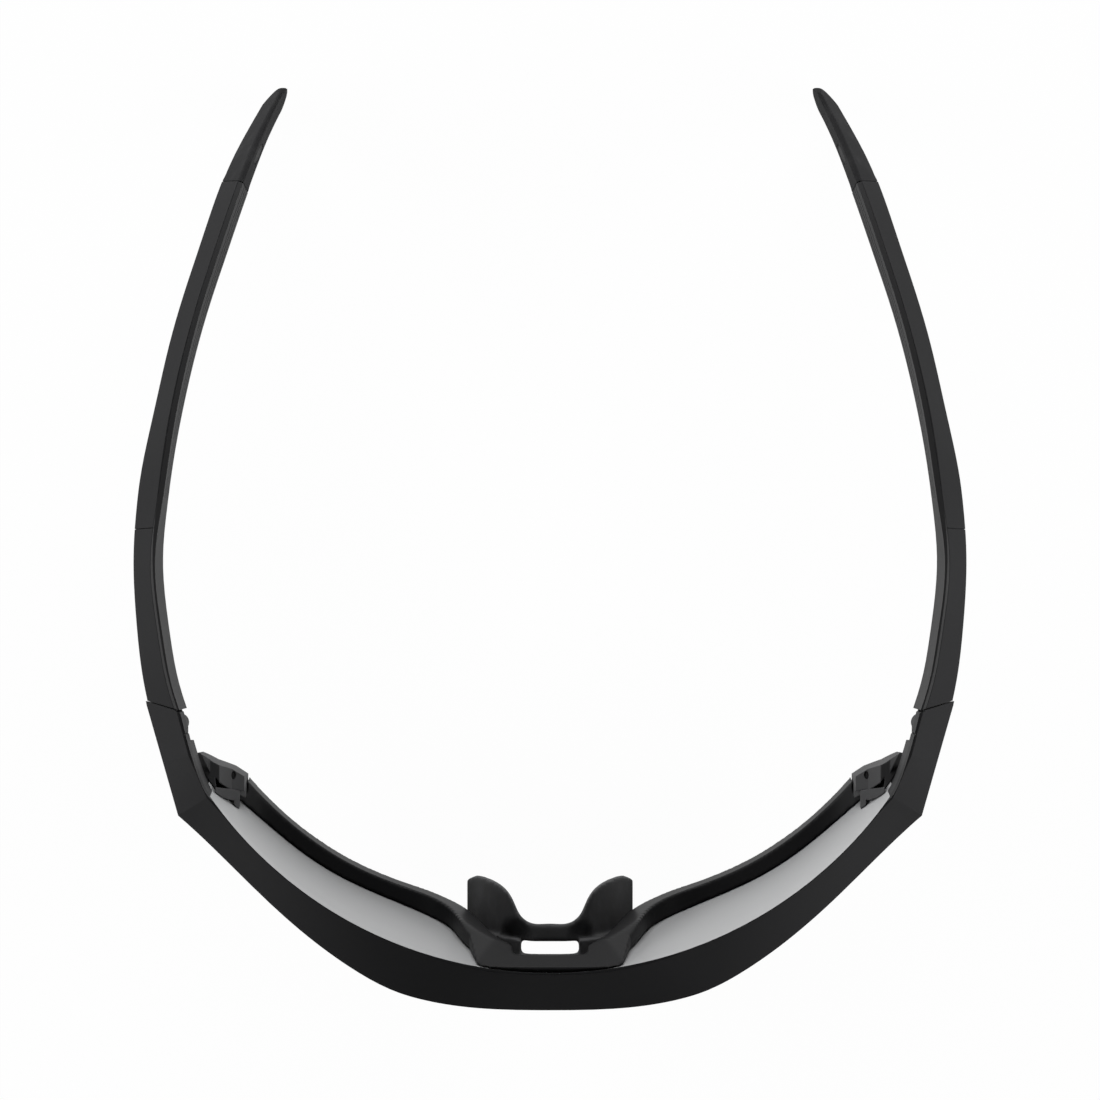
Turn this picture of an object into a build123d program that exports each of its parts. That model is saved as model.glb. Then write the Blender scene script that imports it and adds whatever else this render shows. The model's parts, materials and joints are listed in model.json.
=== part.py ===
from build123d import *
import os
from math import hypot, radians, sqrt, tan

# Wraparound sport sunglasses, standing open on a table.
# +Z is up, the front faces -Y and the ear tips point to +Y; X = 0 is the plane of symmetry.
# The origin is on the table, midway between the front and the ear tips.  All sizes in mm.

# ---------------------------------------------------------------- driving dimensions
# Reach of the shapes that cut the pieces out: well past the part on every side.
far_top = 80.0
far_low = -20.0
far_side = 80.0
far_front = -95.0
front_near = -15.0          # front-view cuts start here and run forward
far_radius = 120.0

# One-piece shield lens: part of a cylinder whose axis leans forward at the top.
lens_radius = 73.4          # rear face
lens_thickness = 1.8
lens_tilt = 7.0             # degrees
lens_half_width = 60.2
lens_end_y = -45.4          # rear face at the lens ends, at the height of the brow's top
groove_clearance = 0.1      # lens in its grooves, each face
groove_depth = 1.8          # how far the lower rim holds the lens
brow_groove_depth = 4.5     # how far the brow's front covers the lens
lens_axis_y = lens_end_y + sqrt(lens_radius**2 - lens_half_width**2)

# Brow: the upper frame with its two side arms.
brow_height = 50.0
brow_lip = 2.05             # behind the lens, at the brow's top
brow_lip_lean = 5.6         # degrees, the rear lip leans under its top edge
brow_lip_hold = 1.1         # how far the rear lip reaches down behind the lens
lip_cone_rise = 1.0         # the lean starts this far above the brow's top
lip_end_x = 59.4            # the rear lip turns into the arm's inner wall here
arm_wall_blend = 1.6        # between the rear arc and the arm's inner wall
arm_inner_x = 45.0          # everything of the arm lies outside this
brow_rear_radius = lens_radius - brow_lip

# Lower rim and nose arch.
rim_width = 4.4             # seen from the front
rim_front_reach = 1.6       # in front of the lens
nose_arch_drop = 15.5       # below the brow's top
bridge_low_half_width = 14.2            # the sides of the nose bridge close toward the brow
bridge_high_half_width = 11.3
bridge_low_drop = 23.0
bridge_reach = 3.8          # flat rear face of the nose bridge, behind the lens
bridge_flat_half_width = 6.6
saddle_low_drop = 19.0      # sloping top of the nose bridge: its rear edge
saddle_low_reach = 6.0
saddle_high_drop = 10.0     # and its front edge, under the brow
saddle_high_reach = 1.2
saddle_half_width = 18.0
bridge_rear_y = lens_axis_y - lens_radius + bridge_reach

# Rubber nose piece: two wings joined by a bar.
pad_thickness = 2.0
pad_clearance = 0.12        # to the nose arch
pad_slot_half_width = 5.1   # opening between the bar and the nose bridge
pad_slot_front_y = bridge_rear_y + 1.8
pad_front_y = bridge_rear_y - 3.1
pad_web_y = bridge_rear_y + 2.3         # the wings thicken into the nose arch in front of this

# Temple hinge: a two-leaved fork on the arm, a tongue on the temple and a screw.
hinge_x = 65.1
hinge_y = -32.4
hinge_drop = 18.5           # foot of the hinge, below the brow's top
hinge_knuckle_radius = 1.6
hinge_leaf_height = 2.0
hinge_tongue_height = 2.2
hinge_play = 0.1            # between a leaf and the tongue
hinge_swing_radius = 3.1    # the temple's inner corner passes inside this circle
swing_inner_radius = 2.4    # and its end face outside this one
hinge_swing_drop = 1.7      # how far ahead of the hinge the corner comes
hinge_pocket_clearance = 0.15
hinge_neck_half_width = 1.15
hinge_screw_radius = 0.6
hinge_screw_clearance = 0.05
hinge_head_radius = 1.05
hinge_head_height = 0.8
chassis_thickness = 1.4
chassis_drop = 9.0          # top of the chassis, below the brow's top
chassis_front_y = -45.4
chassis_block_length = 4.0
chassis_block_reach = 0.2   # past the hinge axis
neck_inset = 0.3            # middle of the leaf necks, inside the hinge axis
neck_overlap = 0.5          # the necks run this far into the chassis
passage_clearance = 0.4     # beside the neck
passage_rear = 2.0          # behind the seam
screw_slot_width = 0.3
screw_slot_depth = 0.35

# Seams: their outer ends lie further back.
seam_gap = 0.16             # between the arm and the temple
cover_gap = 0.12            # between two covers of one temple
seam_slant = 11.0           # degrees
seam_x = 67.4
seam_y = -29.25
mid_seam_x = 71.0
mid_seam_y = 2.2
ear_seam_x = 57.0
ear_seam_y = 64.2
ear_seam_slant = 24.0
seam_lean = 6.0             # degrees, the foot of a cover's seam lies ahead of its top
mid_seam_top = 43.0
ear_seam_top = 22.0

# Temple core: the inner strip, with a spine that fills the covers and enters the ear tip.
core_thickness = 0.9
spine_thickness = 1.1
spine_low_share = 0.32
spine_high_share = 0.64
spine_start = 4.0           # behind the hinge seam
spine_end_y = 72.0
root_front = 3.0            # the hinge tongue meets the core this far behind the seam
root_rear = 7.0
joint_overlap = 0.6         # between shapes of one piece
groove_width_share = 0.035
groove_depth_in_core = 0.3
groove_first_y = 7.0
groove_overrun = 4.0        # past the ear seam

# End block between the arm and the lower rim, its screw and the catch of the lens end.
block_seam_x = 54.5
block_foot_top_z = 28.5
block_top_low_z = 19.5      # its top falls from the arm to the lower rim
block_top_high_z = 31.0
ledge_drop = 3.0            # the ledge in front of the block lies lower
tongue_thickness = 1.3      # of the lower rim, in front of the block
tongue_end_x = 59.0
tongue_clearance = 0.1
block_screw_x = 56.3        # the screw stands square to the block's falling top
block_screw_y = -42.2
block_screw_head_radius = 0.75
block_screw_head_height = 0.7
block_screw_shank_radius = 0.4
block_screw_length = 1.8
block_screw_sunk = 0.9
block_screw_end_gap = 0.1
catch_rise = 2.2            # above the block's ledge
catch_inner_x = 55.4
catch_outer_x = 59.0
catch_clearance = 0.1       # to the lens
catch_slot_inset = 0.8      # slot across the catch's front face
catch_slot_width = 0.9
catch_slot_depth = 1.3
block_low_z = 3.0

# ---------------------------------------------------------------- outlines
# Crease (outermost edge) and ridge (top edge) of the brow's sloping face.
# Along the lens: x, distance ahead of the lens, drop below the brow's top.
crease_line = [
    (0.0, 5.4, 9.4), (22.6, 7.0, 9.6), (27.8, 7.3, 10.0), (33.4, 6.9, 10.6), (49.0, 5.75, 13.0),
]
ridge_line = [
    (0.0, -1.6, 0.0), (20.7, -1.67, 0.5), (25.5, -1.78, 1.0), (29.9, -1.83, 1.5), (45.2, -2.28, 3.0),
]
# Then along the arm: x, distance behind the lens ends, drop.
arm_crease_line = [(65.25, -3.3, 16.0), (67.95, 6.0, 16.5), (70.85, 16.0, 17.0), (72.3, 23.4, 17.0)]
arm_ridge_line = [(59.3, 0.5, 4.0), (62.55, 7.8, 4.3), (64.75, 16.0, 4.5), (66.6, 23.4, 4.5)]
underside_lean = 0.45       # how far the lower lip falls inward per mm of height
roof_low_z = brow_height - 26.0
roof_high_z = brow_height + 6.0

# Front view, right half: x, drop below the brow's top.
brow_low_line = [
    (0.0, 11.4), (22.0, 11.6), (34.0, 12.8), (50.0, 15.4), (60.0, 17.8), (66.0, 18.8), (76.0, 19.6),
]
brow_top_line = [
    (0.0, 0.0), (20.0, 0.4), (32.0, 1.5), (45.0, 2.9), (57.0, 3.9), (65.0, 4.5), (76.0, 5.0),
]
# Lower rim, outer edge: the nose arch hangs from the brow, the low part stands on the table.
arch_line = [(0.0, nose_arch_drop), (6.0, 17.2), (9.6, 23.5)]
low_line = [
    (12.4, 16.5), (15.4, 7.4), (21.5, 1.5), (29.0, 0.05), (37.4, 2.3), (45.4, 4.6), (51.0, 6.0),
    (55.2, 9.0), (58.8, 14.5), (61.4, 23.0),
]
rim_end_line = [(63.0, 15.5), (65.5, 4.0)]
# Its rear face: x, distance behind the lens.
rim_rear_line = [
    (0.0, 3.6), (12.0, 3.6), (21.0, 3.6), (26.5, 3.2), (33.0, 2.9), (42.0, 2.9), (50.0, 2.9), (56.0, 3.4),
]

# Three points of the plane beside the nose bridge: x, distance behind the lens, z.
bridge_slope = [
    (19.6, 3.6, 11.0),
    (8.5, 3.6, brow_height - 19.0),
    (11.3, 0.3, brow_height - 11.4),
]

# End block, plan view: x, y.
block_rear = [(61.6, -37.9), (59.4, -39.6), (56.6, -41.0), (block_seam_x, -42.6)]
block_front = [(block_seam_x, -45.2), (catch_outer_x, -43.9)]
block_top_x = 61.6
block_side_x = 61.9
block_foot_shoulder_x = 58.4
block_foot_side_x = 64.0

# Inner wall of the side arm, plan view: x, distance behind the lens ends.
arm_wall_line = [
    (58.6, 0.1), (60.6, 3.5), (61.8, 7.0), (62.8, 10.4), (64.2, 16.0), (65.6, 20.0), (66.8, 23.4),
]

# Temple: y, x of the inner foot, thickness at the base, lowest z, height, width of the flat crest,
# and how far the inner wall leans outward at its top.  The first four stations hang from the brow.
arm_station_line = [
    (-33.0, 62.9, 6.95, 19.0, 14.6, 0.6, 0.2),
    (-25.8, 65.1, 6.1, 19.0, 14.2, 0.3, 0.3),
    (-18.8, 66.5, 5.7, 18.9, 13.6, 0.4, 0.3),
    (-4.7, 68.0, 5.1, 18.8, 12.4, 0.4, 0.5),
]
rear_station_line = [
    (9.3, 66.85, 5.35, 30.5, 11.2, 1.1, 0.05),
    (23.4, 64.6, 4.95, 28.4, 10.4, 1.15, 0.3),
    (37.7, 61.4, 5.1, 24.6, 9.9, 1.05, 0.5),
    (52.3, 57.15, 5.25, 18.8, 9.8, 1.0, 0.7),
    (63.6, 53.85, 5.3, 12.0, 10.1, 1.0, 0.65),
    (71.2, 51.6, 4.8, 5.3, 10.1, 1.0, 0.5),
    (77.0, 49.45, 4.3, 0.0, 10.0, 0.9, 0.5),
    (84.5, 46.5, 3.4, -6.9, 9.8, 0.6, 0.4),
]
temple_section_count = 18   # evenly spaced along the line above
spine_section_count = 14
groove_section_count = 9
crease_share = 0.2          # height of the temple's crease, as a share of its section
foot_share = 0.5            # inner foot of the section, as a share of the crease's height
groove_shares = (0.3, 0.5, 0.7)
tip_radius = 3.7            # rounded end of the ear tip, side view
tip_fall = 42.0             # degrees below level, at the end
tip_end_y = 82.0
# Nose pad, front view, right half: middle of the rubber, from the bar down one wing.
pad_line = [(0.0, 28.4), (4.4, 27.6), (7.6, 22.5), (10.9, 13.5), (14.6, 4.6)]
pad_low_z = 5.6
# Nose pad, plan view, right half: its rear face, then its side, behind the bridge's flat face.
pad_rear_reaches = [
    (0.0, 4.9), (3.4, 5.0), (5.3, 6.3), (6.5, 8.6), (8.0, 10.5), (10.4, 11.6), (13.2, 11.9),
]
pad_side_reaches = [(15.5, 11.0), (16.1, 6.5)]
pad_side_x = 18.0
pad_near_y = -50.0
liner_share = 0.8           # rubber under the nose bridge, as a share of the pad's thickness


def on_brow(line):
    """Points x, y, z of a line that is given along the lens."""
    placed = []
    for x, ahead, drop in line:
        placed.append((x, lens_axis_y - sqrt(lens_radius**2 - x**2) - ahead, brow_height - drop))
    return placed


def on_arm(line):
    """Points x, y, z of a line that is given behind the lens ends."""
    return [(x, lens_end_y + behind_end, brow_height - drop) for x, behind_end, drop in line]


def hung(line):
    """Front-view points x, z of a line that is given below the brow's top."""
    return [(x, brow_height - drop) for x, drop in line]


pad_rear_line = [(x, bridge_rear_y + reach) for x, reach in pad_rear_reaches]
pad_side_line = [(x, bridge_rear_y + reach) for x, reach in pad_side_reaches]
pad_side_line += [(pad_side_x, pad_web_y), (pad_side_x, pad_front_y)]
brow_low = hung(brow_low_line)
brow_top = hung(brow_top_line)
rim_line = hung(arch_line) + low_line + hung(rim_end_line)
arm_wall = [(x, lens_end_y + behind_end) for x, behind_end in arm_wall_line]
temple_line = [(*row[:3], brow_height - row[3], *row[4:]) for row in arm_station_line] + rear_station_line
hinge_low_z = brow_height - hinge_drop
chassis_top_z = brow_height - chassis_drop


def extended(crease, ridge, z):
    """Point at height z on the straight line through a crease point and its ridge point."""
    share = (z - ridge[2]) / (crease[2] - ridge[2])
    return (
        ridge[0] + share * (crease[0] - ridge[0]),
        ridge[1] + share * (crease[1] - ridge[1]),
    )


def lip_point(crease, ridge):
    """Point 1 mm below a crease point on the lower lip, which falls back toward the lens."""
    run = hypot(ridge[0] - crease[0], ridge[1] - crease[1])
    step = underside_lean / run
    return (
        crease[0] + step * (ridge[0] - crease[0]),
        crease[1] + step * (ridge[1] - crease[1]),
        crease[2] - 1.0,
    )


def shifted(points, distance):
    """The same open line moved sideways, to the left of its direction of travel."""
    moved = []
    for i, (x, z) in enumerate(points):
        before = points[max(i - 1, 0)]
        after = points[min(i + 1, len(points) - 1)]
        run = (after[0] - before[0], after[1] - before[1])
        length = hypot(*run)
        moved.append((x - distance * run[1] / length, z + distance * run[0] / length))
    return moved


def along_lens(points, distance):
    """A front-view line moved sideways by a distance measured on the curved face of the lens."""
    moved = []
    for start, end in zip(points, shifted(points, distance)):
        turn = (1.0 - (start[0] / lens_radius) ** 2) ** 0.5
        moved.append((start[0] + turn * (end[0] - start[0]), end[1]))
    moved[0] = (0.0, moved[0][1])
    return moved


def front_cut(line, far_z):
    """Front-view region between a mirrored line and far_z, through the whole front."""
    whole_line = [(-x, z) for x, z in reversed(line[1:])] + line
    side = line[-1][0]
    with BuildPart(mode=Mode.PRIVATE) as cut:
        with BuildSketch(Plane.XZ.offset(-front_near)):
            with BuildLine():
                edge = Spline(*whole_line)
                Polyline(edge @ 1, (side, far_z), (-side, far_z), edge @ 0)
            make_face()
        extrude(amount=front_near - far_front)
    return cut.part


def roof(points_low, points_high, z_low, z_high):
    """Solid whose sides run straight from the plan outline at z_low to the one at z_high."""
    with BuildPart(mode=Mode.PRIVATE) as solid:
        for z, points in ((z_low, points_low), (z_high, points_high)):
            arc, side, rear = points[:-3], points[-3:-1], points[-1]
            with BuildSketch(Plane.XY.offset(z)):
                with BuildLine():
                    half = arc[1:]
                    other = [(-x, y) for x, y in reversed(half)]
                    front = Spline(*other, arc[0], *half)
                    Polyline(
                        front @ 1, *side, rear, (-rear[0], rear[1]),
                        *[(-x, y) for x, y in reversed(side)], front @ 0,
                    )
                make_face()
        loft(ruled=True)
    return solid.part


def lens_shell(inner, outer):
    """Tilted tube about the lens axis, from one radius to another."""
    with BuildPart(mode=Mode.PRIVATE) as tube:
        with BuildSketch(lens_plane):
            Circle(outer)
            Circle(inner, mode=Mode.SUBTRACT)
        extrude(amount=far_top, both=True)
    return tube.part


def mirrored(piece):
    """The matching piece of the other side."""
    with BuildPart(mode=Mode.PRIVATE) as other:
        mirror(piece, about=Plane.YZ)
    return other.part


lens_plane = Plane(
    origin=(0, lens_axis_y, brow_height),
    x_dir=(1, 0, 0),
    z_dir=Vector(0, 0, 1).rotate(Axis.X, lens_tilt),
)


def lens_zone(extra):
    """Front-view region of the lens, grown by extra on every side."""
    low_edge = along_lens(rim_line, rim_width - groove_depth - extra)
    top_edge = [(x, z + brow_groove_depth + extra) for x, z in brow_low]
    above_low = front_cut(low_edge, far_top)
    above_top = front_cut(top_edge, far_top)
    with BuildPart(mode=Mode.PRIVATE) as zone:
        Box(2 * (lens_half_width + extra), 4 * far_top, 4 * far_top)
        add(above_low, mode=Mode.INTERSECT)
        add(above_top, mode=Mode.SUBTRACT)
    return zone.part


# ---------------------------------------------------------------- lens
lens_front = lens_radius + lens_thickness

with BuildPart() as shield_lens:
    add(lens_shell(lens_radius, lens_front))
    add(lens_zone(0.0), mode=Mode.INTERSECT)

with BuildPart() as lens_groove:
    add(lens_shell(lens_radius - groove_clearance, lens_front + groove_clearance))
    add(lens_zone(groove_clearance), mode=Mode.INTERSECT)

# ---------------------------------------------------------------- brow frame
all_creases = on_brow(crease_line) + on_arm(arm_crease_line)
all_ridges = on_brow(ridge_line) + on_arm(arm_ridge_line)
all_lips = [lip_point(c, r) for c, r in zip(all_creases, all_ridges)]
face_low = [extended(c, r, roof_low_z) for c, r in zip(all_creases, all_ridges)]
face_high = [extended(c, r, roof_high_z) for c, r in zip(all_creases, all_ridges)]
lip_low = [extended(c, lip, roof_low_z) for c, lip in zip(all_creases, all_lips)]
lip_high = [extended(c, lip, roof_high_z) for c, lip in zip(all_creases, all_lips)]

with BuildPart() as inside:
    with BuildSketch():
        with BuildLine():
            join_x = arm_wall[0][0] - arm_wall_blend
            join_y = lens_axis_y - sqrt(brow_rear_radius**2 - join_x**2)
            rear_arc = ThreePointArc(
                (-join_x, join_y), (0, lens_axis_y - brow_rear_radius), (join_x, join_y)
            )
            right_wall = Spline((join_x, join_y), *arm_wall)
            left_wall = Spline((-join_x, join_y), *[(-x, y) for x, y in arm_wall])
            Polyline(right_wall @ 1, (arm_inner_x, 0), (-arm_inner_x, 0), left_wall @ 1)
        make_face()
    extrude(amount=far_top)

# The rear lip leans under its top edge and ends a little below the top of the lens.
lip_cone_height = brow_height + lip_cone_rise
lip_spread = lip_cone_height * tan(radians(brow_lip_lean))
lip_low_edge = [(x, z + brow_groove_depth - brow_lip_hold) for x, z in brow_low]
with BuildPart() as under_lip:
    with Locations((0, lens_axis_y, 0)):
        Cone(
            brow_rear_radius + lip_spread,
            brow_rear_radius,
            lip_cone_height,
            align=(Align.CENTER, Align.CENTER, Align.MIN),
        )
    add(lens_shell(0.1, lens_radius) - front_cut(lip_low_edge, far_top))
    Box(2 * lip_end_x, 4 * far_side, 4 * far_top, mode=Mode.INTERSECT)

with BuildPart() as brow_blank:
    add(roof(face_low, face_high, roof_low_z, roof_high_z))
    add(roof(lip_low, lip_high, roof_low_z, roof_high_z), mode=Mode.INTERSECT)
    add(front_cut(brow_low, far_top), mode=Mode.INTERSECT)
    add(front_cut(brow_top, far_top), mode=Mode.SUBTRACT)
    add(inside.part, mode=Mode.SUBTRACT)
    add(under_lip.part, mode=Mode.SUBTRACT)


# ---------------------------------------------------------------- temple blank (wearer's left, +X)
def temple_at(y):
    """Temple measures at y, on a smooth curve through the temple line."""
    last = len(temple_line) - 1
    i = max(k for k in range(last) if temple_line[k][0] <= y or k == 0)
    start, end = temple_line[i], temple_line[i + 1]
    before, after = temple_line[max(i - 1, 0)], temple_line[min(i + 2, last)]
    span = end[0] - start[0]
    t = (y - start[0]) / span
    values = []
    for k in range(1, len(start)):
        slope_in = (end[k] - before[k]) / (end[0] - before[0]) * span
        slope_out = (after[k] - start[k]) / (after[0] - start[0]) * span
        values.append(
            (2 * t**3 - 3 * t**2 + 1) * start[k]
            + (t**3 - 2 * t**2 + t) * slope_in
            + (3 * t**2 - 2 * t**3) * end[k]
            + (t**3 - t**2) * slope_out
        )
    return (y, *values)


def even_stations(first_y, last_y, count):
    """Temple measures at evenly spaced places."""
    step = (last_y - first_y) / (count - 1)
    return [temple_at(first_y + step * i) for i in range(count)]


def section_corners(station):
    """Corners of one temple section: inner foot, inner top, crest, crease and lower lip."""
    y, inner, base, low_z, height, crest, lean = station
    crease_z = low_z + crease_share * height
    return [
        (inner, low_z + foot_share * (crease_z - low_z)),
        (inner + lean, low_z + height),
        (inner + lean + crest, low_z + height),
        (inner + base, crease_z),
        (inner + base - underside_lean * (crease_z - low_z), low_z),
    ]


with BuildPart() as temple_blank:
    for station in even_stations(temple_line[0][0], temple_line[-1][0], temple_section_count):
        with BuildSketch(Plane.XZ.offset(-station[0])):
            with BuildLine():
                Polyline(*section_corners(station), close=True)
            make_face()
    loft()
    with BuildSketch(Plane.YZ):
        with Locations((tip_end_y - tip_radius, tip_radius)):
            Circle(tip_radius)
            Rectangle(3 * far_top, 3 * far_top, rotation=-tip_fall, align=(Align.MAX, Align.CENTER))
    extrude(amount=far_top, mode=Mode.INTERSECT)


foot_level = foot_share * crease_share


def swept_bar(stations, inner_offset, thickness, low_share, high_share):
    """Bar that follows the temple's inner wall through the given stations."""
    with BuildPart(mode=Mode.PRIVATE) as bar:
        for y, inner, base, low_z, height, crest, lean in stations:
            low = low_z + low_share * height
            high = low_z + high_share * height
            start_low = inner + inner_offset + lean * (low_share - foot_level) / (1 - foot_level)
            start_high = inner + inner_offset + lean * (high_share - foot_level) / (1 - foot_level)
            with BuildSketch(Plane.XZ.offset(-y)):
                with BuildLine():
                    Polyline(
                        (start_low, low),
                        (start_high, high),
                        (start_high + thickness, high),
                        (start_low + thickness, low),
                        close=True,
                    )
                make_face()
        loft()
    return bar.part


def plan_box(points, low_z, high_z):
    """Straight-sided solid over a plan polygon."""
    with BuildPart(mode=Mode.PRIVATE) as box:
        with BuildSketch(Plane.XY.offset(low_z)):
            with BuildLine():
                Polyline(*points, close=True)
            make_face()
        extrude(amount=high_z - low_z)
    return box.part


def cuboid(x_range, y_range, z_range):
    """Plain box between the given limits."""
    with BuildPart(mode=Mode.PRIVATE) as box:
        with Locations((x_range[0], y_range[0], z_range[0])):
            Box(
                x_range[1] - x_range[0],
                y_range[1] - y_range[0],
                z_range[1] - z_range[0],
                align=(Align.MIN, Align.MIN, Align.MIN),
            )
    return box.part


def front_box(points):
    """Front-view polygon of the left half, through the whole front."""
    with BuildPart(mode=Mode.PRIVATE) as box:
        with BuildSketch(Plane.XZ.offset(-front_near)):
            with BuildLine():
                Polyline(*points, close=True)
            make_face()
        extrude(amount=front_near - far_front)
    return box.part


def behind(x, y, slant, gap):
    """Everything of the left temple that lies more than gap behind a slanted seam."""
    seam = Plane(Location((x, y, 0), (0, 0, slant)))
    half_width = far_side / 2
    reach = 2 * far_side
    local_corners = ((-half_width, gap), (half_width, gap), (half_width, reach), (-half_width, reach))
    corners = [seam.from_local_coords(Vector(u, v, 0)) for u, v in local_corners]
    return plan_box([(c.X, c.Y) for c in corners], far_low, far_top)


def behind_leaning(x, y, top, slant, gap):
    """The same behind a seam that also leans, through a point on its top."""
    turned = Location((x, y, top)) * Location((0, 0, 0), (0, 0, slant))
    seam_top = turned * Location((0, 0, 0), (-seam_lean, 0, 0))
    with BuildPart(mode=Mode.PRIVATE) as space:
        with Locations(seam_top * Location((0, gap, 0))):
            Box(far_side, 2 * far_side, 2 * far_side, align=(Align.CENTER, Align.MIN, Align.CENTER))
    return space.part


def pin(plane, radius, height):
    """Round pin standing on a plane."""
    with BuildPart(mode=Mode.PRIVATE) as round_pin:
        with BuildSketch(plane):
            Circle(radius)
        extrude(amount=height)
    return round_pin.part


def both_sides(piece):
    """A piece together with its mirror image."""
    with BuildPart(mode=Mode.PRIVATE) as pair:
        add(piece)
        mirror(piece, about=Plane.YZ)
    return pair.part


# ---------------------------------------------------------------- hinge places
tongue_low_z = hinge_low_z + hinge_leaf_height + hinge_play
tongue_high_z = tongue_low_z + hinge_tongue_height
upper_leaf_z = tongue_high_z + hinge_play
hinge_high_z = upper_leaf_z + hinge_leaf_height
hinge_floor = Plane((hinge_x, hinge_y, 0))
hinge_foot = Plane((hinge_x, hinge_y, hinge_low_z))
pocket_radius = hinge_knuckle_radius + hinge_pocket_clearance
neck_front_y = hinge_y - hinge_swing_radius

swing_ring = pin(hinge_floor, hinge_swing_radius, far_top) - pin(hinge_floor, swing_inner_radius, far_top)
swing_space = swing_ring & cuboid(
    (hinge_x - far_side, hinge_x - neck_inset),
    (hinge_y - hinge_swing_drop, hinge_y + far_side),
    (0, far_top),
)
knuckle_space = pin(hinge_floor, pocket_radius, hinge_high_z + hinge_play)
passage_x = hinge_x + hinge_neck_half_width + passage_clearance
passage = cuboid(
    (arm_inner_x, passage_x),
    (neck_front_y, seam_y + passage_rear),
    (0, hinge_high_z + hinge_play),
)

# ---------------------------------------------------------------- arm chassis with the hinge fork
chassis_line = shifted([(x, y) for x, y in arm_wall[1:5]], -chassis_thickness)
chassis_line = [(chassis_line[0][0], chassis_front_y), chassis_line[1], (chassis_line[2][0], neck_front_y)]
chassis_plate = plan_box(
    [(arm_inner_x, chassis_front_y), *chassis_line, (arm_inner_x, neck_front_y)], 0, chassis_top_z
)
chassis_block = cuboid(
    (arm_inner_x, hinge_x + chassis_block_reach),
    (neck_front_y - chassis_block_length, neck_front_y),
    (hinge_low_z, hinge_high_z),
)
with BuildPart() as left_arm_chassis:
    add(brow_blank.part)
    add(chassis_plate + chassis_block, mode=Mode.INTERSECT)
    add(swing_space, mode=Mode.SUBTRACT)
    add(passage, mode=Mode.SUBTRACT)
    for leaf_z in (hinge_low_z, upper_leaf_z):
        with BuildSketch(Plane.XY.offset(leaf_z)):
            with Locations((hinge_x, hinge_y)):
                Circle(hinge_knuckle_radius)
            with Locations((hinge_x - neck_inset, hinge_y)):
                Rectangle(
                    2 * hinge_neck_half_width,
                    hinge_swing_radius + neck_overlap,
                    align=(Align.CENTER, Align.MAX),
                )
        extrude(amount=hinge_leaf_height)
    add(pin(hinge_floor, hinge_screw_radius, far_top), mode=Mode.SUBTRACT)
    add(pin(hinge_floor, hinge_head_radius, hinge_low_z + hinge_head_height), mode=Mode.SUBTRACT)
    add(lens_groove.part, mode=Mode.SUBTRACT)

with BuildPart() as left_hinge_screw:
    add(pin(hinge_foot, hinge_head_radius, hinge_head_height))
    add(pin(hinge_foot, hinge_screw_radius, hinge_high_z - hinge_low_z))
    with BuildSketch(hinge_foot):
        Rectangle(1.6 * hinge_head_radius, screw_slot_width)
    extrude(amount=screw_slot_depth, mode=Mode.SUBTRACT)

# ---------------------------------------------------------------- temple pieces
whole_run = even_stations(temple_line[0][0], temple_line[-1][0], temple_section_count)
slab = swept_bar(whole_run, -core_thickness, 2 * core_thickness, -1.0, 2.0)
spine = swept_bar(
    even_stations(seam_y + spine_start, spine_end_y, spine_section_count),
    core_thickness - joint_overlap,
    spine_thickness + joint_overlap,
    spine_low_share,
    spine_high_share,
)
root = plan_box(
    [
        (hinge_x - hinge_neck_half_width, hinge_y),
        (hinge_x + hinge_neck_half_width, hinge_y),
        (hinge_x + hinge_neck_half_width, seam_y + root_rear),
        (temple_at(seam_y + root_front)[1] + joint_overlap, seam_y + root_front),
    ],
    tongue_low_z,
    tongue_high_z,
)
behind_hinge_seam = behind(seam_x, seam_y, seam_slant, seam_gap / 2)
behind_ear_seam = behind_leaning(ear_seam_x, ear_seam_y, ear_seam_top, ear_seam_slant, 0)
ear_tip_space = behind_leaning(ear_seam_x, ear_seam_y, ear_seam_top, ear_seam_slant, cover_gap)

with BuildPart() as left_temple_core:
    add(temple_blank.part & slab & behind_hinge_seam)
    add(behind_ear_seam, mode=Mode.SUBTRACT)
    for share in groove_shares:
        groove = swept_bar(
            even_stations(groove_first_y, ear_seam_y + groove_overrun, groove_section_count),
            -groove_depth_in_core,
            2 * groove_depth_in_core,
            share - groove_width_share / 2,
            share + groove_width_share / 2,
        )
        add(groove, mode=Mode.SUBTRACT)
    add(spine)
    add(root)
    add(pin(hinge_floor.offset(tongue_low_z), hinge_knuckle_radius, hinge_tongue_height))
    add(pin(hinge_floor, hinge_screw_radius + hinge_screw_clearance, far_top), mode=Mode.SUBTRACT)

with BuildPart() as left_ear_tip:
    add(temple_blank.part & ear_tip_space)
    add(spine, mode=Mode.SUBTRACT)

with BuildPart() as cover_blank:
    add(temple_blank.part)
    add(slab, mode=Mode.SUBTRACT)
    add(spine, mode=Mode.SUBTRACT)
    add(root, mode=Mode.SUBTRACT)
    add(behind_ear_seam, mode=Mode.SUBTRACT)

with BuildPart() as left_front_cover:
    add(cover_blank.part & behind_hinge_seam)
    add(
        behind_leaning(mid_seam_x, mid_seam_y, mid_seam_top, seam_slant, -cover_gap / 2),
        mode=Mode.SUBTRACT,
    )

with BuildPart() as left_rear_cover:
    add(
        cover_blank.part
        & behind_leaning(mid_seam_x, mid_seam_y, mid_seam_top, seam_slant, cover_gap / 2)
    )

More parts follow.
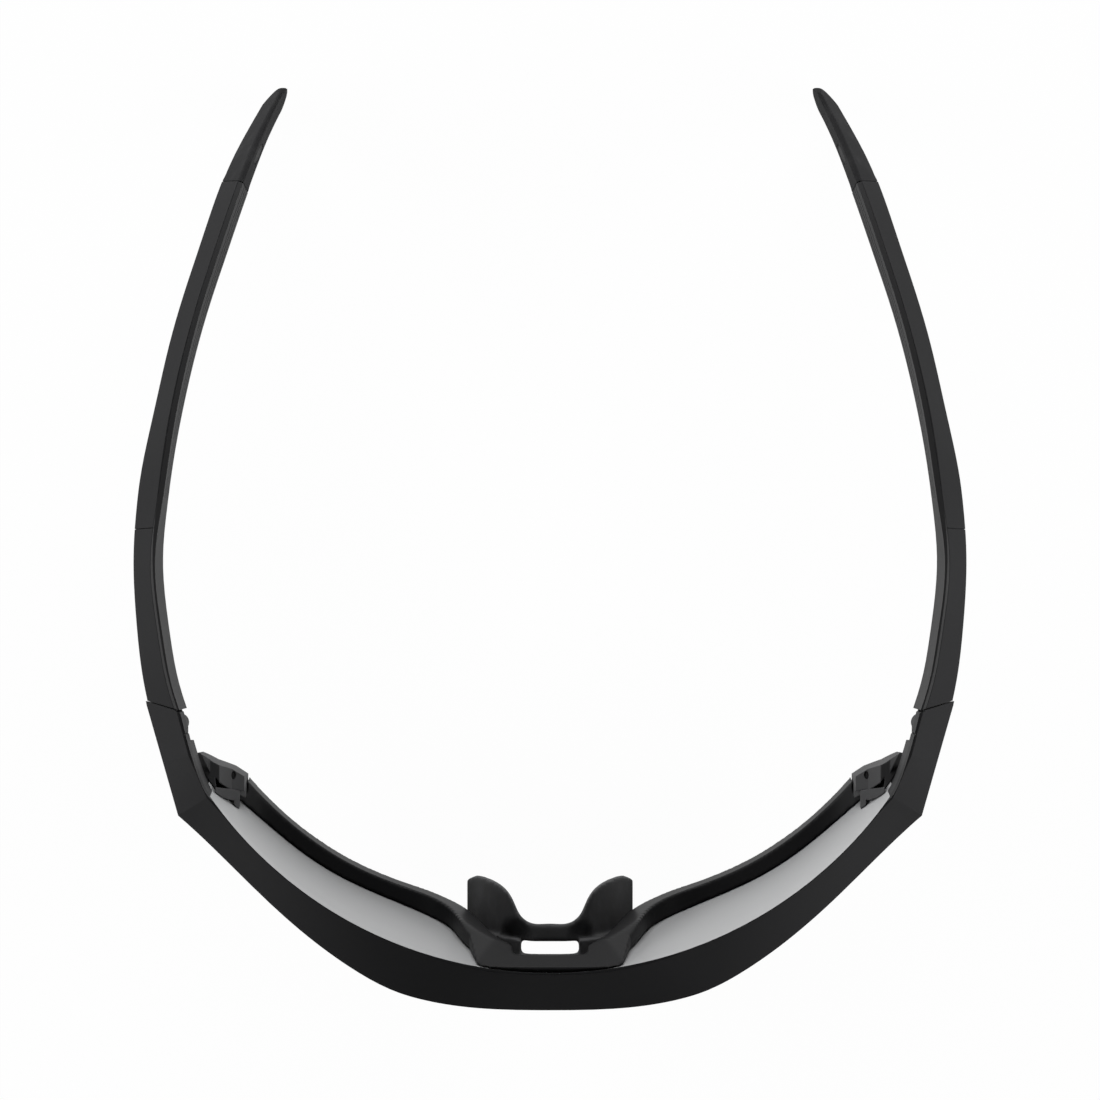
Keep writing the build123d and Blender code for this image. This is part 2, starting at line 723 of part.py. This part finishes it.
# ---------------------------------------------------------------- brow frame
arm_end = behind(seam_x, seam_y, seam_slant, -seam_gap / 2)
with BuildPart() as brow_frame:
    add(brow_blank.part)
    add(both_sides(arm_end), mode=Mode.SUBTRACT)
    add(both_sides(left_arm_chassis.part), mode=Mode.SUBTRACT)
    add(both_sides(swing_space), mode=Mode.SUBTRACT)
    add(both_sides(knuckle_space), mode=Mode.SUBTRACT)
    add(both_sides(passage), mode=Mode.SUBTRACT)
    add(lens_groove.part, mode=Mode.SUBTRACT)

# ---------------------------------------------------------------- lower rim
bridge_cut = cuboid((-bridge_flat_half_width, bridge_flat_half_width), (bridge_rear_y, 0), (0, far_top))
nose_bridge = front_box(
    [
        (-bridge_low_half_width, brow_height - bridge_low_drop),
        (-bridge_high_half_width, brow_height),
        (bridge_high_half_width, brow_height),
        (bridge_low_half_width, brow_height - bridge_low_drop),
    ]
)
saddle_low = (lens_axis_y - lens_radius + saddle_low_reach, brow_height - saddle_low_drop)
saddle_high = (lens_axis_y - lens_radius + saddle_high_reach, brow_height - saddle_high_drop)
with BuildPart() as above_saddle:
    with BuildSketch(Plane.YZ):
        with BuildLine():
            Polyline(
                saddle_low,
                saddle_high,
                (saddle_high[0], far_top),
                (0, far_top),
                (0, saddle_low[1]),
                close=True,
            )
        make_face()
    extrude(amount=saddle_half_width, both=True)
# The sides of the nose bridge slope from the arch to the lens.
slope_points = []
for x, reach, z in bridge_slope:
    lens_y = lens_axis_y - sqrt(lens_radius**2 - x**2) + (brow_height - z) * tan(radians(lens_tilt))
    slope_points.append(Vector(x, lens_y + reach, z))
slope_normal = (slope_points[1] - slope_points[0]).cross(slope_points[2] - slope_points[0])
slope_plane = Plane(origin=slope_points[0], z_dir=slope_normal)
with BuildPart() as beside_bridge:
    with BuildSketch(slope_plane):
        Rectangle(2 * far_side, 2 * far_side)
    extrude(amount=far_side)
    Box(
        bridge_slope[0][0],
        4 * far_side,
        far_side,
        align=(Align.MIN, Align.CENTER, Align.MIN),
        mode=Mode.INTERSECT,
    )
opening_line = along_lens(rim_line, rim_width)
rim_opening = front_cut(opening_line, far_top) - nose_bridge
block_zone = cuboid((block_seam_x, far_side), (far_front, 0), (0, far_top))
block_zone &= lens_shell(lens_radius / 2, lens_radius - tongue_thickness)
past_tongue = cuboid((tongue_end_x, far_side), (far_front, 0), (0, far_top))
past_tongue &= lens_shell(lens_radius / 2, lens_radius)
seam_side_x = block_seam_x + seam_gap / 2
block_top_rise = block_top_high_z - block_top_low_z
block_top_run = block_top_x - seam_side_x
block_screw_z = block_top_low_z + (block_screw_x - seam_side_x) * block_top_rise / block_top_run
block_screw_spot = Plane(
    origin=(block_screw_x, block_screw_y, block_screw_z),
    x_dir=(0, 1, 0),
    z_dir=(-block_top_rise, 0, block_top_run),
)
block_screw_bore = pin(
    block_screw_spot.offset(-block_screw_length), block_screw_shank_radius, 2 * block_screw_length
)
rim_rear = []
for x, reach in rim_rear_line:
    rim_rear.append((x, -sqrt((lens_radius - reach) ** 2 - x**2)))
rim_rear_left = [(-x, y) for x, y in reversed(rim_rear[1:])]
with BuildPart() as lower_rim:
    with BuildSketch(lens_plane):
        Circle(lens_front + rim_front_reach)
        with BuildLine():
            rear_face = Spline(*rim_rear_left, *rim_rear)
            Polyline(
                rear_face @ 1,
                (far_side, 0),
                (far_side, far_side),
                (-far_side, far_side),
                (-far_side, 0),
                rear_face @ 0,
            )
        make_face(mode=Mode.SUBTRACT)
    extrude(amount=far_top, both=True)
    add(front_cut(rim_line, far_top), mode=Mode.INTERSECT)
    add(rim_opening, mode=Mode.SUBTRACT)
    add(above_saddle.part, mode=Mode.SUBTRACT)
    add(both_sides(beside_bridge.part), mode=Mode.SUBTRACT)
    add(front_cut(brow_low, far_top), mode=Mode.SUBTRACT)
    add(lens_groove.part, mode=Mode.SUBTRACT)
    add(bridge_cut, mode=Mode.SUBTRACT)
    add(both_sides(block_zone), mode=Mode.SUBTRACT)
    add(both_sides(past_tongue), mode=Mode.SUBTRACT)

# ---------------------------------------------------------------- end block, screw and lens catch
tongue_space = lens_shell(lens_radius - tongue_thickness - tongue_clearance, far_radius)
tongue_space &= cuboid((0, tongue_end_x + tongue_clearance), (far_front, 0), (0, far_top))
lens_space = lens_shell(lens_radius - catch_clearance, far_radius)
block_body = plan_box(block_rear + block_front, 0, far_top) & front_box(
    [
        (seam_side_x, block_low_z),
        (seam_side_x, block_top_low_z),
        (block_top_x, block_top_high_z),
        (block_side_x, block_low_z),
    ]
)
foot_plan = [(block_foot_side_x, block_rear[0][1]), *block_rear, (block_seam_x, pad_near_y)]
foot_plan += [(block_foot_side_x, pad_near_y)]
block_foot = plan_box(foot_plan, 0, far_top) & front_box(
    [
        (seam_side_x, block_low_z),
        (seam_side_x, block_top_low_z - ledge_drop),
        (block_foot_shoulder_x, block_foot_top_z),
        (block_foot_side_x, block_foot_top_z),
        (block_foot_side_x, block_low_z),
    ]
)
with BuildPart() as left_end_block:
    add(block_body & inside.part)
    add(block_foot)
    add(front_cut(rim_line, far_top), mode=Mode.INTERSECT)
    add(tongue_space, mode=Mode.SUBTRACT)
    add(lens_space, mode=Mode.SUBTRACT)
    add(
        pin(block_screw_spot.offset(-block_screw_sunk), block_screw_head_radius, 2 * block_screw_length),
        mode=Mode.SUBTRACT,
    )
    add(block_screw_bore, mode=Mode.SUBTRACT)

with BuildPart() as left_block_screw:
    add(
        pin(
            block_screw_spot.offset(-block_screw_length),
            block_screw_shank_radius,
            block_screw_length - block_screw_end_gap,
        )
    )
    add(pin(block_screw_spot.offset(-block_screw_sunk), block_screw_head_radius, block_screw_head_height))

ledge_low_z = block_top_low_z - ledge_drop
ledge_slope = (block_foot_top_z - ledge_low_z) / (block_foot_shoulder_x - seam_side_x)
catch_low_z = ledge_low_z + ledge_slope * (catch_inner_x - seam_side_x)
catch_high_z = block_foot_top_z
catch_box = front_box(
    [
        (catch_inner_x, block_low_z),
        (catch_inner_x, catch_low_z + catch_rise),
        (catch_outer_x, catch_high_z + catch_rise),
        (catch_outer_x, block_low_z),
    ]
)
catch_box &= front_cut(opening_line, far_top)
catch_plan = [(catch_inner_x, far_front), (catch_outer_x, far_front), block_front[1], block_front[0]]
catch_slot = cuboid(
    (catch_inner_x + catch_slot_inset, catch_inner_x + catch_slot_inset + catch_slot_width),
    (far_front, block_front[0][1] - catch_slot_depth),
    (0, far_top),
)
with BuildPart() as left_lens_catch:
    add(catch_box)
    add(plan_box(catch_plan, 0, far_top), mode=Mode.INTERSECT)
    add(lens_space, mode=Mode.SUBTRACT)
    add(inside.part, mode=Mode.INTERSECT)
    add(block_body, mode=Mode.SUBTRACT)
    add(block_foot, mode=Mode.SUBTRACT)
    add(catch_slot, mode=Mode.SUBTRACT)

# ---------------------------------------------------------------- nose pad
def from_middle(points, distance):
    """A half outline moved sideways whose first point stays on the plane of symmetry."""
    moved = shifted(points, distance)
    moved[0] = (0.0, moved[0][1])
    return moved


nose_arch = rim_line[:6]
under_pad_outside = front_cut(from_middle(pad_line, pad_thickness / 2), far_low)
under_pad_inside = front_cut(from_middle(pad_line, -pad_thickness / 2), far_low)
under_arch = front_cut(from_middle(nose_arch, -pad_clearance), far_low)
under_liner = front_cut(from_middle(nose_arch, -pad_clearance - liner_share * pad_thickness), far_low)

pad_left_rear = [(-x, y) for x, y in reversed(pad_rear_line[1:])]
pad_left_side = [(-x, y) for x, y in reversed(pad_side_line)]
with BuildPart() as pad_plan:
    with BuildSketch():
        with BuildLine():
            rear_edge = Spline(*pad_left_rear, *pad_rear_line)
            Polyline(rear_edge @ 1, *pad_side_line, *pad_left_side, rear_edge @ 0)
        make_face()
    extrude(amount=far_top)

pad_slot = cuboid((-pad_slot_half_width, pad_slot_half_width), (far_front, pad_slot_front_y), (0, far_top))
web_gap = cuboid((-pad_slot_half_width, pad_slot_half_width), (far_front, pad_near_y), (0, far_top))
in_front_of_webs = cuboid((-far_side, far_side), (far_front, pad_web_y), (0, far_top))
under_bridge = cuboid((-far_side, far_side), (far_front, bridge_rear_y), (0, far_top))
wings = under_pad_outside - under_pad_inside
webs = ((under_arch - under_pad_inside) & in_front_of_webs) - web_gap
liner = (under_arch - under_liner) & under_bridge
with BuildPart() as nose_pad:
    add(wings)
    add(pad_slot, mode=Mode.SUBTRACT)
    add(webs)
    add(liner)
    add(pad_plan.part, mode=Mode.INTERSECT)
    add(cuboid((-far_side, far_side), (far_front, pad_near_y), (pad_low_z, far_top)), mode=Mode.INTERSECT)

# ---------------------------------------------------------------- the right side and the files
centre_pieces = {
    "brow_frame": brow_frame.part,
    "lower_rim": lower_rim.part,
    "shield_lens": shield_lens.part,
    "nose_pad": nose_pad.part,
}
left_pieces = {
    "arm_chassis": left_arm_chassis.part,
    "hinge_screw": left_hinge_screw.part,
    "end_block": left_end_block.part,
    "block_screw": left_block_screw.part,
    "lens_catch": left_lens_catch.part,
    "temple_core": left_temple_core.part,
    "front_cover": left_front_cover.part,
    "rear_cover": left_rear_cover.part,
    "ear_tip": left_ear_tip.part,
}
os.makedirs("parts", exist_ok=True)
files = dict(centre_pieces)
for name, piece in left_pieces.items():
    files[f"left_{name}"] = piece
    files[f"right_{name}"] = mirrored(piece)
for name, piece in files.items():
    piece.label = name
    export_step(piece, f"parts/{name}.step")
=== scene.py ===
import json
import math

import bpy
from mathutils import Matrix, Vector

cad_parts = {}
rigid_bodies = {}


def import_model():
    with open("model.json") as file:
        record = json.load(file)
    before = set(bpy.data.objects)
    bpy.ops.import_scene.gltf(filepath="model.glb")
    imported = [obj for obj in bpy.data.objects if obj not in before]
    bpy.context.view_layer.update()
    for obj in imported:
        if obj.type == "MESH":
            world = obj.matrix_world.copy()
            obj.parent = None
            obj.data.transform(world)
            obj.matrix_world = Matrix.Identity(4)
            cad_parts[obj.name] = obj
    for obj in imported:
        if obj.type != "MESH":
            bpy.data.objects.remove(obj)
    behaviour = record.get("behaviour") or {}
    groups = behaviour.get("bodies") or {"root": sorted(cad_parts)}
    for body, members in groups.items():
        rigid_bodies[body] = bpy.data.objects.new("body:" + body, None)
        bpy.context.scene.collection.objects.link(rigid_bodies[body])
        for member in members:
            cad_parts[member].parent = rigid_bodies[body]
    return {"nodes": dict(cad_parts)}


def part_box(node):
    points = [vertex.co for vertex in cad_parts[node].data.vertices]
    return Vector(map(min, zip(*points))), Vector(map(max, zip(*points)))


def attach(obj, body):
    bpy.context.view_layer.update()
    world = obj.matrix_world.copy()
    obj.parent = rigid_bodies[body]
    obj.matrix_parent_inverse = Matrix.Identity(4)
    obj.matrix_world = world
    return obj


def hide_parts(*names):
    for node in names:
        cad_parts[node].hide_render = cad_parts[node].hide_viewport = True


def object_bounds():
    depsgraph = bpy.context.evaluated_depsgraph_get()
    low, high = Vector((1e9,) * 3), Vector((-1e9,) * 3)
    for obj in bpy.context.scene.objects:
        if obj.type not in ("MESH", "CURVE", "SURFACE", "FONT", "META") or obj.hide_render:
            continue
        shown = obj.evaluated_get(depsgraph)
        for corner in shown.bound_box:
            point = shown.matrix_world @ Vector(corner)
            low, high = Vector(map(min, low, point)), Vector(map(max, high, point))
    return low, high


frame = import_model()
cad_low, cad_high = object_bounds()
nodes = frame["nodes"]


# ---------------------------------------------------------------- shield lens
# One curved sheet of smoke-tinted polycarbonate, 1.8 mm thick, polished on both faces.
# It is pushed up into the brow and held below by the groove of the lower rim.
class Channel:
    """An output of a finish that can stand in a Python expression."""

    def __init__(self, finish, socket):
        self.finish = finish
        self.socket = socket

    def __add__(self, other):
        return self.finish.maths("ADD", self, other)

    def __radd__(self, other):
        return self.finish.maths("ADD", other, self)

    def __sub__(self, other):
        return self.finish.maths("SUBTRACT", self, other)

    def __rsub__(self, other):
        return self.finish.maths("SUBTRACT", other, self)

    def __mul__(self, other):
        return self.finish.maths("MULTIPLY", self, other)

    def __rmul__(self, other):
        return self.finish.maths("MULTIPLY", other, self)


class Finish:
    """One node material of the sunglasses."""

    def __init__(self, name):
        self.material = bpy.data.materials.new(name)
        self.material.use_nodes = True
        self.tree = self.material.node_tree
        self.tree.nodes.clear()
        self.place = self.node("ShaderNodeTexCoord")["Object"]

    def node(self, kind, settings=None, inputs=None):
        """Adds a node and returns its outputs by name."""
        made = self.tree.nodes.new(kind)
        for key, value in (settings or {}).items():
            setattr(made, key, value)
        for key, value in (inputs or {}).items():
            if isinstance(value, Channel):
                self.tree.links.new(value.socket, made.inputs[key])
            else:
                made.inputs[key].default_value = value
        return {out.name: Channel(self, out) for out in made.outputs if out.enabled}

    def maths(self, operation, first, second):
        """One Math node on two values."""
        settings = {"operation": operation}
        return self.node("ShaderNodeMath", settings, {0: first, 1: second})["Value"]

    def between(self, value, low, high):
        """0 below low, 1 above high and a smooth step between."""
        settings = {"interpolation_type": "SMOOTHSTEP"}
        inputs = {"Value": value, "From Min": low, "From Max": high}
        return self.node("ShaderNodeMapRange", settings, inputs)["Result"]

    def noise(self, scale, detail):
        """Soft noise that stays where it is on the piece."""
        inputs = {"Vector": self.place, "Scale": scale, "Detail": detail}
        return self.node("ShaderNodeTexNoise", {}, inputs)["Fac"]

    def colours(self, mask, first, second):
        """first where the mask is 0 and second where it is 1."""
        mixed = self.tree.nodes.new("ShaderNodeMix")
        mixed.data_type = "RGBA"
        self.tree.links.new(mask.socket, mixed.inputs["Factor"])
        for slot_name, colour in (("A", first), ("B", second)):
            socket = next(s for s in mixed.inputs if s.name == slot_name and s.type == "RGBA")
            if isinstance(colour, Channel):
                self.tree.links.new(colour.socket, socket)
            else:
                socket.default_value = (*colour, 1.0)
        return Channel(self, next(s for s in mixed.outputs if s.type == "RGBA"))

    def surface(self, inputs):
        """Ends the finish in one Principled surface."""
        shader = self.node("ShaderNodeBsdfPrincipled", {}, inputs)["BSDF"]
        self.node("ShaderNodeOutputMaterial", {}, {"Surface": shader})
        return self.material


def clad(piece, material):
    """Gives a piece its finish."""
    piece.data.materials.clear()
    piece.data.materials.append(material)


def smoke_lens():
    """Smoke tint; where the sheet is seen edge-on the base colour is painted pale grey and more
    opaque, a painted reflection.
    """
    clear_tint = (0.020, 0.021, 0.022)
    hazy_tint = (0.026, 0.027, 0.028)
    # painted reflection: the pale grey base colour used at grazing angles
    painted_edge_sheen = (0.250, 0.252, 0.255)
    finish = Finish("lens_smoke")
    haze = finish.between(finish.noise(scale=55.0, detail=3.0), low=0.35, high=0.75)
    facing = finish.node("ShaderNodeLayerWeight", {}, {"Blend": 0.5})["Facing"]
    # painted reflection mask: 1 where the sheet is seen edge-on, turning the colour pale and the
    # sheet more opaque
    painted_sheen = finish.between(facing, low=0.55, high=0.75)
    tint = finish.colours(haze, clear_tint, hazy_tint)
    inputs = {
        "Base Color": finish.colours(painted_sheen, tint, painted_edge_sheen),
        "Roughness": 0.12 + 0.3 * painted_sheen + 0.03 * haze,
        "Alpha": 0.74 + 0.23 * painted_sheen,
        "IOR": 1.5,
        "Specular IOR Level": 0.3,
    }
    return finish.surface(inputs)


clad(nodes["shield_lens"], smoke_lens())


# ---------------------------------------------------------------- brow, arms and temple covers
# Injection-moulded black nylon with a satin, finely grained face.
# The covers clip over the temple cores and meet at slanting seams.
def moulded_black(name, colour, worn_colour, roughness, grain, edge_radius, specular):
    """Satin black plastic: fine mould grain, a slow change of gloss and slightly worn edges."""
    grain_height = 0.00003
    finish = Finish(name)
    fine = finish.noise(scale=5200.0, detail=2.0)
    slow = finish.noise(scale=70.0, detail=3.0)
    rounded = finish.node("ShaderNodeBevel", {"samples": 6}, {"Radius": edge_radius})["Normal"]
    flat = finish.node("ShaderNodeNewGeometry")["Normal"]
    settings = {"operation": "DOT_PRODUCT"}
    facing = finish.node("ShaderNodeVectorMath", settings, {0: rounded, 1: flat})["Value"]
    edge = finish.between(1.0 - facing, low=0.004, high=0.12)
    scuffs = finish.between(finish.noise(scale=420.0, detail=4.0), low=0.38, high=0.66)
    bump = {"Strength": grain, "Distance": grain_height, "Height": fine, "Normal": rounded}
    inputs = {
        "Base Color": finish.colours(edge * scuffs, colour, worn_colour),
        "Roughness": roughness + 0.07 * (slow - 0.5) + 0.05 * fine,
        "Specular IOR Level": specular,
        "Normal": finish.node("ShaderNodeBump", {}, bump)["Normal"],
    }
    return finish.surface(inputs)


satin_black = moulded_black(
    "satin_black",
    colour=(0.0125, 0.0125, 0.013),
    worn_colour=(0.020, 0.020, 0.021),
    roughness=0.42,
    grain=0.3,
    edge_radius=0.00030,
    specular=0.008,
)
clad(nodes["brow_frame"], satin_black)
for side in ("left", "right"):
    clad(nodes[f"{side}_front_cover"], satin_black)
    clad(nodes[f"{side}_rear_cover"], satin_black)

# ---------------------------------------------------------------- lower rim
# The same nylon, moulded in one piece with the nose arch and snapped up against the lens.
# Its bridge is a soft saddle that flows from the brow into both sides of the arch.
rim_black = moulded_black(
    "rim_black",
    colour=(0.0125, 0.0125, 0.013),
    worn_colour=(0.022, 0.022, 0.023),
    roughness=0.40,
    grain=0.3,
    edge_radius=0.00035,
    specular=0.05,
)
rim_voxel = 0.00030
rim_rounds = 14
bridge_half_width = 0.022
bridge_fade = 0.005
least_softness = 0.04


def no_selection():
    for thing in bpy.data.objects:
        thing.select_set(False)


def select_only(piece):
    no_selection()
    piece.select_set(True)
    bpy.context.view_layer.objects.active = piece


def keep_whole(piece):
    """Deletes crumbs that aren't joined to the foot of a piece."""
    foot = min(piece.data.vertices, key=lambda vertex: vertex.co.z)
    for vertex in piece.data.vertices:
        vertex.select = vertex.index == foot.index
    bpy.ops.object.mode_set(mode="EDIT")
    bpy.context.tool_settings.mesh_select_mode = (True, False, False)
    bpy.ops.mesh.select_linked()
    bpy.ops.mesh.select_all(action="INVERT")
    bpy.ops.mesh.delete(type="VERT")
    bpy.ops.object.mode_set(mode="OBJECT")


def moulded(name, node_name, voxel, rounds, softness):
    """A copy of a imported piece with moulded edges; softness gives how far a point is rounded."""
    joining_distance = 0.000002
    piece = bpy.data.objects.new(name, nodes[node_name].data.copy())
    bpy.context.scene.collection.objects.link(piece)
    select_only(piece)
    bpy.ops.object.mode_set(mode="EDIT")
    bpy.ops.mesh.select_all(action="SELECT")
    bpy.ops.mesh.remove_doubles(threshold=joining_distance)
    bpy.ops.object.mode_set(mode="OBJECT")
    remesh = piece.modifiers.new("even_skin", "REMESH")
    remesh.mode = "VOXEL"
    remesh.voxel_size = voxel
    bpy.ops.object.modifier_apply(modifier=remesh.name)
    keep_whole(piece)
    group = piece.vertex_groups.new(name="softness")
    for vertex in piece.data.vertices:
        group.add([vertex.index], softness(*vertex.co), "REPLACE")
    soft = piece.modifiers.new("rounded_edges", "SMOOTH")
    soft.factor = 0.5
    soft.iterations = rounds
    soft.vertex_group = group.name
    bpy.ops.object.modifier_apply(modifier=soft.name)
    bpy.ops.object.shade_smooth()
    return piece


def bridge_softness(x, y, z):
    """Full at the nose bridge, slight along the rest of the rim."""
    at_bridge = min(max((bridge_half_width - abs(x)) / bridge_fade, 0.0), 1.0)
    return least_softness + (1.0 - least_softness) * at_bridge


rim = moulded("rim_moulding", "lower_rim", rim_voxel, rim_rounds, bridge_softness)
clad(rim, rim_black)
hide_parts("lower_rim")
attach(rim, "front")

# ---------------------------------------------------------------- inner pieces
# Temple cores, arm chassis, end blocks and lens catches, all moulded in matt black nylon.
# The cores turn in the forks of the chassis; the blocks and catches fill the corner behind
# each end of the lens, and get a paler copy of the same black as painted light.
inner_black = moulded_black(
    "inner_black",
    colour=(0.018, 0.018, 0.0185),
    worn_colour=(0.028, 0.028, 0.029),
    roughness=0.50,
    grain=0.4,
    edge_radius=0.00005,
    specular=0.03,
)
# painted light: the same matt black as inner_black, made paler to brighten the end blocks and lens
# catches
painted_light_block_black = moulded_black(
    "painted_light_block_black",
    colour=(0.038, 0.038, 0.039),
    worn_colour=(0.050, 0.050, 0.052),
    roughness=0.50,
    grain=0.4,
    edge_radius=0.00030,
    specular=0.05,
)
for side in ("left", "right"):
    clad(nodes[f"{side}_temple_core"], inner_black)
    clad(nodes[f"{side}_arm_chassis"], inner_black)
    # painted light on the end blocks and lens catches
    clad(nodes[f"{side}_end_block"], painted_light_block_black)
    clad(nodes[f"{side}_lens_catch"], painted_light_block_black)


# ---------------------------------------------------------------- nose piece
# Soft black rubber with two wings and a slotted bar between them, pressed into the nose arch.
# Its edges are rounded all over, and a shallow hollow runs down at each side of the slot.
def soft_rubber(name, colour, paler, specular):
    """Matt rubber with a fine stipple and slightly paler high spots."""
    stipple_height = 0.00004
    finish = Finish(name)
    stipple = finish.noise(scale=2600.0, detail=3.0)
    dust = finish.between(finish.noise(scale=260.0, detail=4.0), low=0.45, high=0.75)
    bump = {"Strength": 0.35, "Distance": stipple_height, "Height": stipple}
    inputs = {
        "Base Color": finish.colours(dust, colour, paler),
        "Roughness": 0.55 + 0.1 * stipple,
        "Specular IOR Level": specular,
        "Normal": finish.node("ShaderNodeBump", {}, bump)["Normal"],
    }
    return finish.surface(inputs)


def all_over(x, y, z):
    """The same softness at every point."""
    return 1.0


def press_in(piece, spot, core, reach, depth):
    """Presses a soft hollow down into a piece: full within the core, fading over the reach."""
    select_only(piece)
    for vertex in piece.data.vertices:
        vertex.select = (vertex.co - Vector(spot)).length < core
    bpy.ops.object.mode_set(mode="EDIT")
    bpy.context.tool_settings.mesh_select_mode = (True, False, False)
    bpy.ops.transform.translate(
        value=(0.0, 0.0, -depth),
        use_proportional_edit=True,
        proportional_edit_falloff="SMOOTH",
        proportional_size=reach,
        use_proportional_connected=False,
    )
    bpy.ops.object.mode_set(mode="OBJECT")


nose_voxel = 0.00030
nose_rounds = 9
hollow_beside_middle = 0.0086
hollow_behind_front = 0.0039
hollow_below_top = 0.00438
hollow_core = 0.0024
hollow_reach = 0.0040
hollow_depth = 0.0024
pad_low, pad_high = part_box("nose_pad")
nose_rubber = moulded("nose_piece_rubber", "nose_pad", nose_voxel, nose_rounds, all_over)
for side_sign in (-1, 1):
    spot = (
        side_sign * hollow_beside_middle,
        pad_low[1] + hollow_behind_front,
        pad_high[2] - hollow_below_top,
    )
    press_in(nose_rubber, spot, hollow_core, hollow_reach, hollow_depth)
nose_finish = soft_rubber(
    "nose_rubber", colour=(0.038, 0.038, 0.039), paler=(0.048, 0.048, 0.050), specular=0.06
)
clad(nose_rubber, nose_finish)
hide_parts("nose_pad")
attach(nose_rubber, "front")

# ---------------------------------------------------------------- ear tips
# Soft black rubber, pushed over the spine of each temple core as far as the rear cover.
# The seam with the cover slants and leans, and the tip stays sharp there and soft behind it.
tip_voxel = 0.00015
tip_rounds = 50
seam_inside_tip = 0.00195
seam_behind_front = 0.0020
seam_below_top = 0.00032
seam_slant = math.radians(24.0)
seam_lean = math.radians(6.0)
sharp_depth = 0.0004
seam_fade = 0.0009
tip_low, tip_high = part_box("left_ear_tip")
seam_x = tip_high[0] - seam_inside_tip
seam_y = tip_low[1] + seam_behind_front
seam_top = tip_high[2] - seam_below_top


def behind_seam(x, y, z):
    """None at the seam with the rear cover, full a little behind it."""
    level = (y - seam_y) * math.cos(seam_slant) - (abs(x) - seam_x) * math.sin(seam_slant)
    behind = level * math.cos(seam_lean) - (z - seam_top) * math.sin(seam_lean)
    return min(max((behind - sharp_depth) / seam_fade, 0.0), 1.0)


tip_rubber = soft_rubber(
    "tip_rubber", colour=(0.0135, 0.0135, 0.014), paler=(0.019, 0.019, 0.0195), specular=0.012
)
for side in ("left", "right"):
    tip = moulded(f"{side}_ear_tip_rubber", f"{side}_ear_tip", tip_voxel, tip_rounds, behind_seam)
    clad(tip, tip_rubber)
    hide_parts(f"{side}_ear_tip")
    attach(tip, f"{side}_temple")

# ---------------------------------------------------------------- screws
# Turned and blackened steel. The hinge screws are put into the forks from below,
# and a short screw stands in each end block.
dark_steel = Finish("dark_steel")
turned = dark_steel.noise(scale=900.0, detail=3.0)
screw_finish = dark_steel.surface(
    {
        "Base Color": dark_steel.colours(turned, (0.004, 0.004, 0.0042), (0.009, 0.009, 0.0093)),
        "Metallic": 0.15,
        "Roughness": 0.45 + 0.2 * turned,
        "Specular IOR Level": 0.02,
    }
)
for side in ("left", "right"):
    clad(nodes[f"{side}_hinge_screw"], screw_finish)
    clad(nodes[f"{side}_block_screw"], screw_finish)

# ---------------------------------------------------------------- table, light and camera
# A plain white table that glows white only to the camera, to reflections and through the lens.
# Soft boxes stand at both sides and behind the ear tips, and the camera looks straight down.
table_size = 6.0
table_drop = 0.0004
glow_share = 0.97
no_selection()
bpy.ops.mesh.primitive_plane_add(size=table_size, location=(0, 0, cad_low.z - table_drop))
table = bpy.context.object
table.name = "table"
paper = Finish("table_paper")
rays = paper.node("ShaderNodeLightPath")
seen = paper.maths("MAXIMUM", rays["Is Camera Ray"], rays["Is Transmission Ray"])
seen = paper.maths("MAXIMUM", seen, rays["Is Glossy Ray"])
fleck = paper.noise(scale=30.0, detail=2.0)
paper_colour = paper.colours(fleck, (0.78, 0.78, 0.78), (0.82, 0.82, 0.82))
white = paper.node("ShaderNodeBsdfDiffuse", {}, {"Color": paper_colour})["BSDF"]
glow_inputs = {"Color": (1.0, 1.0, 1.0, 1.0), "Strength": 1.0}
glow = paper.node("ShaderNodeEmission", {}, glow_inputs)["Emission"]
blend_inputs = {0: glow_share * seen, 1: white, 2: glow}
blend = paper.node("ShaderNodeMixShader", {}, blend_inputs)["Shader"]
paper.node("ShaderNodeOutputMaterial", {}, {"Surface": blend})
table.data.materials.append(paper.material)

room_light = 0.08
world = bpy.data.worlds.new("studio")
bpy.context.scene.world = world
world.use_nodes = True
backdrop = world.node_tree.nodes["Background"]
backdrop.inputs["Color"].default_value = (1.0, 1.0, 1.0, 1.0)
backdrop.inputs["Strength"].default_value = room_light


def soft_box(name, place, aim, width, height, watts):
    """A rectangular soft light that points at aim."""
    lamp = bpy.data.lights.new(name, "AREA")
    lamp.shape = "RECTANGLE"
    lamp.size = width
    lamp.size_y = height
    lamp.energy = watts
    thing = bpy.data.objects.new(name, lamp)
    bpy.context.scene.collection.objects.link(thing)
    thing.location = place
    direction = Vector(aim) - Vector(place)
    thing.rotation_mode = "QUATERNION"
    thing.rotation_quaternion = direction.to_track_quat("-Z", "Y")


soft_box(
    "left_box", place=(-0.88, 0.05, 0.20), aim=(0, 0, 0.03), width=0.8, height=0.36, watts=12.0
)
soft_box(
    "right_box", place=(0.88, -0.20, 0.20), aim=(0, 0, 0.03), width=0.8, height=0.36, watts=14.0
)
soft_box(
    "rear_box", place=(-0.05, 1.0, 0.26), aim=(0, 0, 0.02), width=1.0, height=0.42, watts=14.5
)

camera_height = 0.850
view_centre_y = -0.0021
view_half_width = 0.0946
brow_distance = 0.8
camera_data = bpy.data.cameras.new("camera")
camera = bpy.data.objects.new("camera", camera_data)
bpy.context.scene.collection.objects.link(camera)
camera_data.sensor_width = 36.0
camera_data.lens = camera_data.sensor_width / 2 / (view_half_width / brow_distance)
camera_data.clip_start = 0.05
camera_data.clip_end = 20.0
camera.location = (0.0, view_centre_y, camera_height)
bpy.context.scene.camera = camera
bpy.context.scene.view_settings.view_transform = "Standard"
